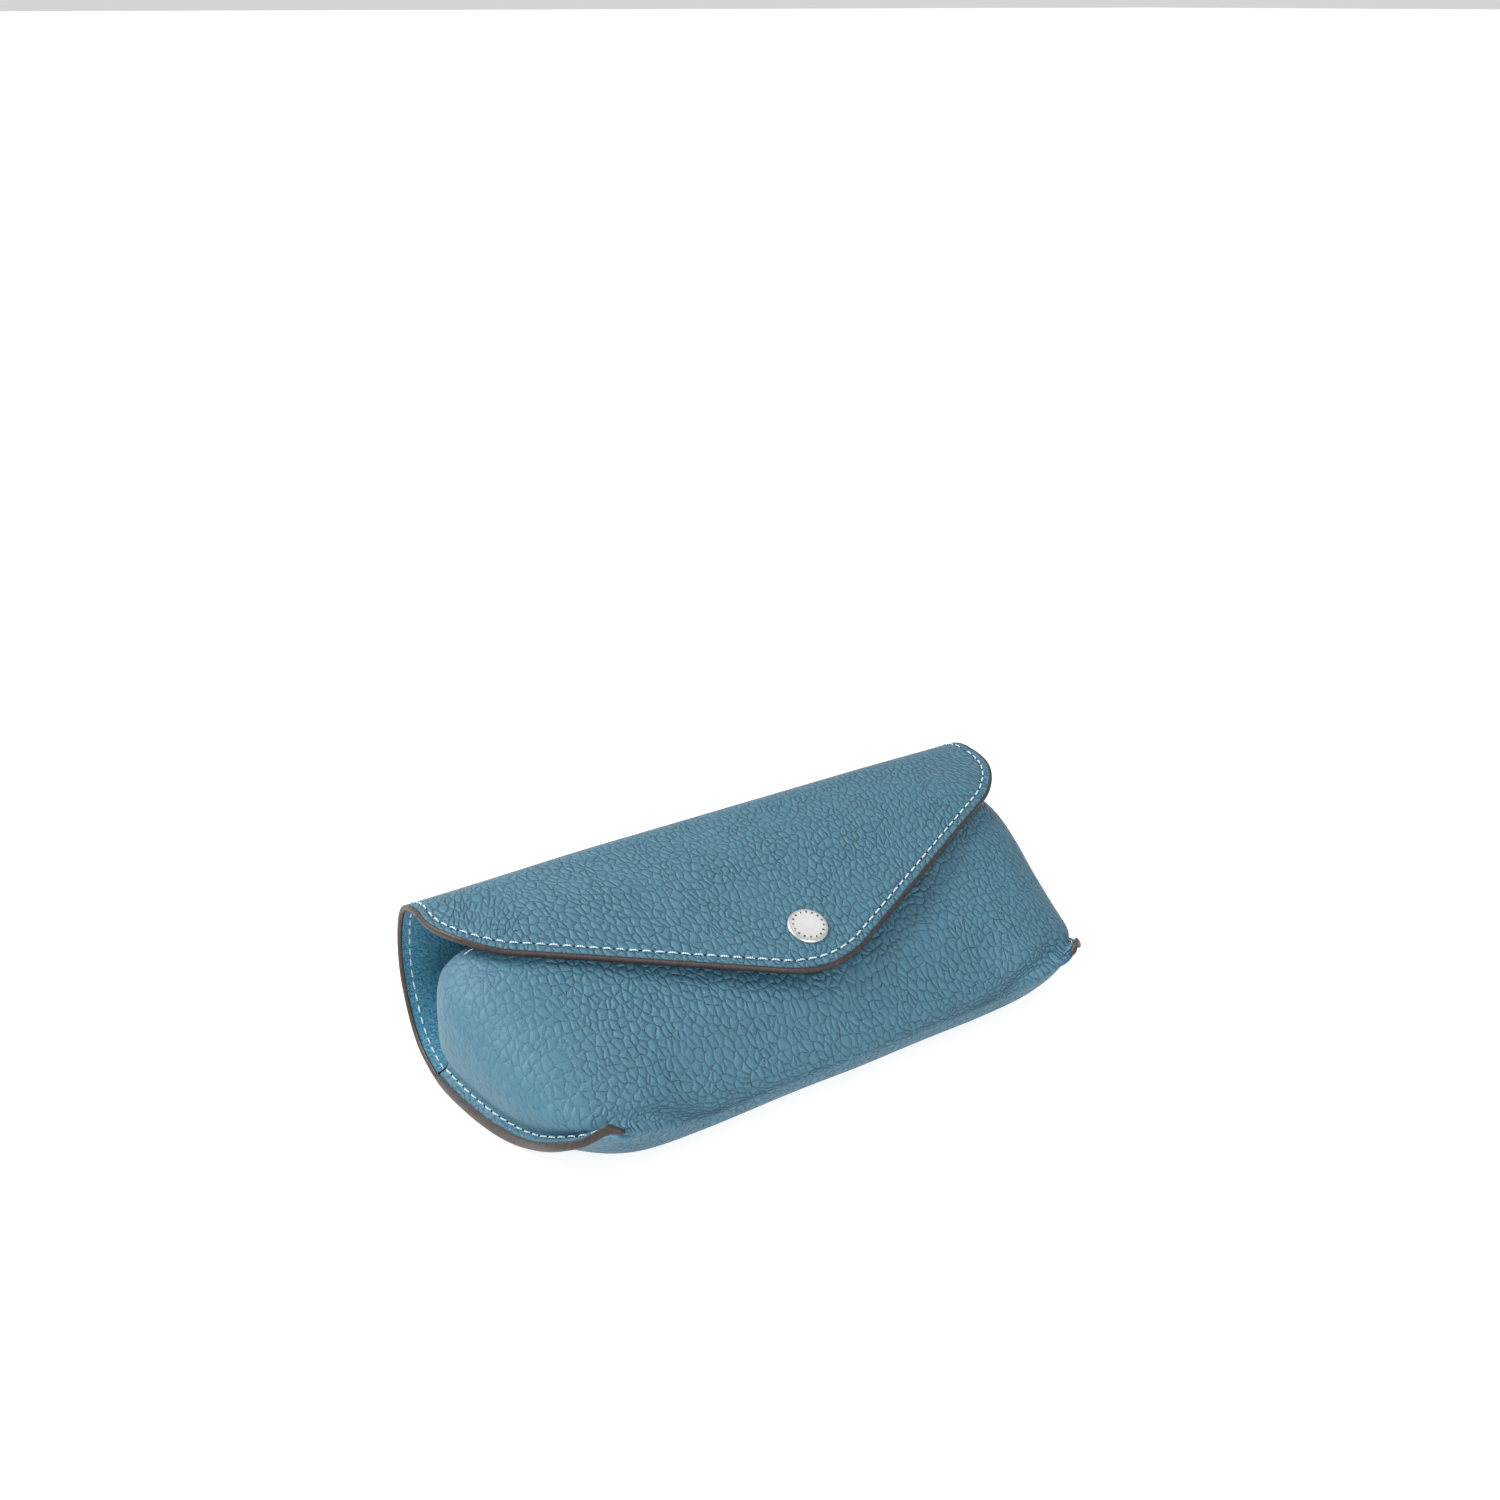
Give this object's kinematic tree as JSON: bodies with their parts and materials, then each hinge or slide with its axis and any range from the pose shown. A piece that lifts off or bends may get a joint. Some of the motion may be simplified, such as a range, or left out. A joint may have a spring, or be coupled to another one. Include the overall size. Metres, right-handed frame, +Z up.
{
  "type": "glasses case",
  "caption": "Soft lined leather pouch for glasses: a folded strip sewn at the sides, with a V-shaped flap held by one round snap.",
  "frame": {"origin": "on the surface it rests on, below the middle of the flat of the back panel", "axes": "+X along the case's length, -Y towards the rounded front fold, +Y towards the fold of the flap, +Z up through the flap"},
  "size_m": [0.1678, 0.0814, 0.0427],
  "materials": {
    "leather": "pebbled grain, satin",
    "suede": "short-napped suede lining",
    "edge_paint": "dark brown edge paint",
    "thread": "pale blue waxed thread",
    "cap_metal": "polished, fine ring of marks",
    "snap_metal": "plain plated"
  },
  "bodies": {
    "pouch": {"back_panel_leather": "leather", "front_panel_leather": "leather", "back_panel_lining": "suede", "front_panel_lining": "suede", "seam_edge_left": "edge_paint", "seam_edge_right": "edge_paint", "back_edge_left": "edge_paint", "back_edge_right": "edge_paint", "mouth_edge": "edge_paint", "seam_stitches_left": "thread", "seam_stitches_right": "thread", "back_edge_stitches_left": "thread", "back_edge_stitches_right": "thread", "mouth_stitches": "thread", "snap_stud": "snap_metal", "snap_eyelet": "snap_metal"},
    "flap": {"flap_leather": "leather", "flap_lining": "suede", "flap_edge": "edge_paint", "flap_stitches_top": "thread", "flap_stitches_under": "thread", "snap_cap": "cap_metal", "snap_socket": "snap_metal", "snap_spring": "snap_metal"}
  },
  "joints": [
    {"name": "flap_fold", "type": "hinge", "parent": "pouch", "child": "flap", "pos_m": [0, 0.0364, 0.03956], "axis": [-1, 0, 0], "range_deg": [0, 120]}
  ]
}
